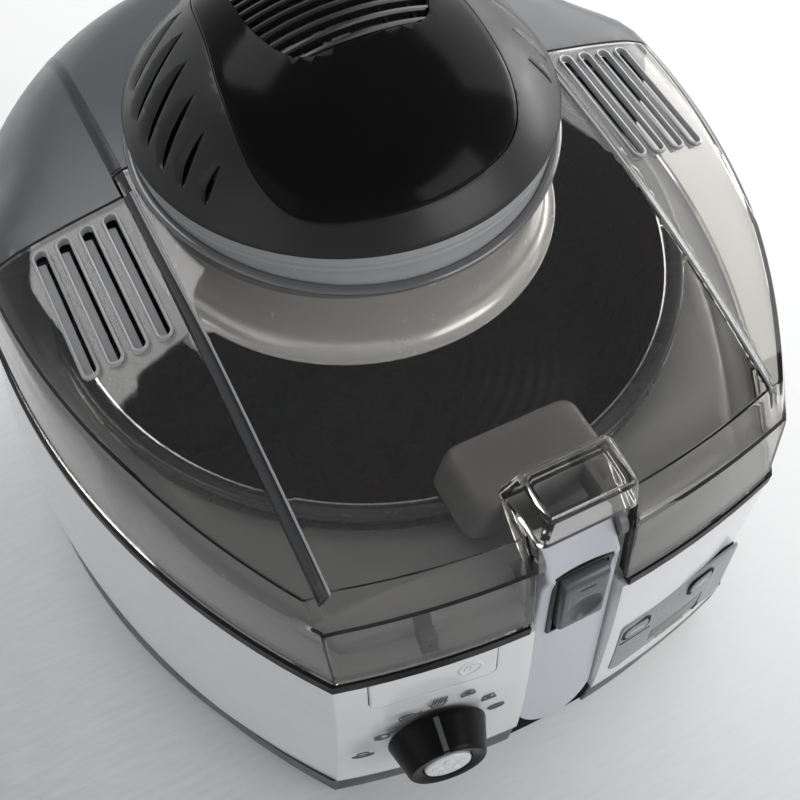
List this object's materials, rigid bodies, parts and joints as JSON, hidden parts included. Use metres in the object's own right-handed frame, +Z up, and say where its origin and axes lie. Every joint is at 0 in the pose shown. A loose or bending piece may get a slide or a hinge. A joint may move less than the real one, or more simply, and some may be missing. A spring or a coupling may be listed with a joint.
{
  "type": "deep fryer",
  "caption": "Oval deep fryer with a lift-out pan and paddle, a folding pan handle, front controls and a hinged smoked lid with a domed fan heater.",
  "frame": {"origin": "middle of the appliance's footprint, on the floor plane under its feet", "axes": "+Z up, -Y towards the front with the controls, +X to the right when seen from the front"},
  "size_m": [0.34, 0.3963, 0.2685],
  "materials": {
    "white_shell": "smooth gloss",
    "dark_plastic": "fine satin",
    "black_plastic": "satin",
    "black_gloss": "mirror gloss",
    "rubber": "matt",
    "smoked_clear": "clear smoked moulding",
    "grey_clear": "tinted moulding",
    "grey_satin": "satin",
    "silver_paint": "fine silver paint",
    "polished_steel": "polished",
    "brushed_steel": "brushed",
    "heater_steel": "oxidised sheath",
    "pan_coating": "non-stick coating",
    "cast_aluminium": "as cast",
    "off_white": "moulded",
    "board_green": "solder mask",
    "lens_dark": "dark tinted"
  },
  "bodies": {
    "base": {"base_shell": "white_shell", "bottom_pan": "dark_plastic", "rubber_feet": "rubber", "seal_band": "rubber", "deck": "grey_satin", "well_liner": "brushed_steel", "lower_heater": "heater_steel", "heater_clips": "brushed_steel", "gearmotor": "dark_plastic", "deck_screws": "brushed_steel", "hinge_pin": "brushed_steel", "selector_switch": "black_plastic", "power_board": "board_green", "cord_inlet": "rubber", "latch_pin": "off_white", "display_panel": "silver_paint", "display_lens": "lens_dark", "control_board": "board_green"},
    "lid": {"lid_shell": "smoked_clear", "notch_trim": "black_plastic", "rear_housing": "grey_satin", "lid_liner": "dark_plastic", "lid_collar": "grey_clear", "dome": "black_plastic", "dome_panel": "black_gloss", "dome_grille": "black_gloss", "drum": "polished_steel", "fan_guard": "polished_steel", "upper_heater": "heater_steel", "fan_plate": "brushed_steel", "fan_motor": "dark_plastic", "motor_screws": "brushed_steel"},
    "fan": {"fan_shaft": "brushed_steel", "impeller": "cast_aluminium", "cooling_fan": "black_plastic"},
    "drive": {"drive_shaft": "brushed_steel"},
    "paddle": {"paddle": "black_plastic"},
    "pan": {"pan": "pan_coating", "handle_bracket": "grey_satin", "bracket_rivets": "brushed_steel", "handle_pin": "brushed_steel"},
    "handle": {"handle": "silver_paint", "slider_bezel": "black_gloss"},
    "slider": {"slider": "black_plastic"},
    "knob": {"knob": "black_plastic", "knob_cap": "off_white", "knob_shaft": "brushed_steel"},
    "release": {"release_button": "white_shell"},
    "latch": {"latch_lever": "dark_plastic"},
    "timer_left": {"timer_button_left": "silver_paint"},
    "timer_right": {"timer_button_right": "silver_paint"}
  },
  "joints": [
    {"name": "lid_hinge", "type": "hinge", "parent": "base", "child": "lid", "pos_m": [0, 0.183, 0.145], "axis": [-1, 0, 0], "range_deg": [0, 85]},
    {"name": "fan_spin", "type": "hinge", "parent": "lid", "child": "fan", "pos_m": [0, 0.0216, 0.2], "axis": [0, 0, 1], "continuous": true},
    {"name": "pan_lift", "type": "slide", "parent": "base", "child": "pan", "axis": [0, 0, 1], "range_m": [0, 0.008]},
    {"name": "handle_fold", "type": "hinge", "parent": "pan", "child": "handle", "pos_m": [0, -0.167, 0.165], "axis": [-1, 0, 0], "range_deg": [0, 90]},
    {"name": "slider_slide", "type": "slide", "parent": "handle", "child": "slider", "axis": [0, -0.0684, -0.9977], "range_m": [0, 0.005]},
    {"name": "paddle_spin", "type": "hinge", "parent": "pan", "child": "paddle", "pos_m": [0, 0.002, 0.1], "axis": [0, 0, 1], "continuous": true},
    {"name": "drive_spin", "type": "hinge", "parent": "base", "child": "drive", "pos_m": [0, 0.002, 0.06], "axis": [0, 0, 1], "continuous": true},
    {"name": "knob_turn", "type": "hinge", "parent": "base", "child": "knob", "pos_m": [-0.0597, -0.18027, 0.0692], "axis": [-0.1594, -0.9858, 0.0523], "range_deg": [-150, 150]},
    {"name": "release_press", "type": "slide", "parent": "base", "child": "release", "axis": [0.1617, 0.9868, 0], "range_m": [0, 0.002], "stiffness_N_per_m": 800},
    {"name": "latch_turn", "type": "hinge", "parent": "base", "child": "latch", "pos_m": [-0.05775, -0.1652, 0.095], "axis": [-0.987, 0.1609, 0], "range_deg": [0, 5.5]},
    {"name": "timer_left_press", "type": "slide", "parent": "base", "child": "timer_left", "axis": [-0.0935, 0.9942, -0.0523], "range_m": [0, 0.0012], "stiffness_N_per_m": 600},
    {"name": "timer_right_press", "type": "slide", "parent": "base", "child": "timer_right", "axis": [-0.1924, 0.9799, -0.0523], "range_m": [0, 0.0012], "stiffness_N_per_m": 600}
  ],
  "couplings": [
    {"joint": "drive_spin", "follows": "paddle_spin", "ratio": 1},
    {"joint": "latch_turn", "follows": "release_press", "rad_per_m": 45.45}
  ]
}
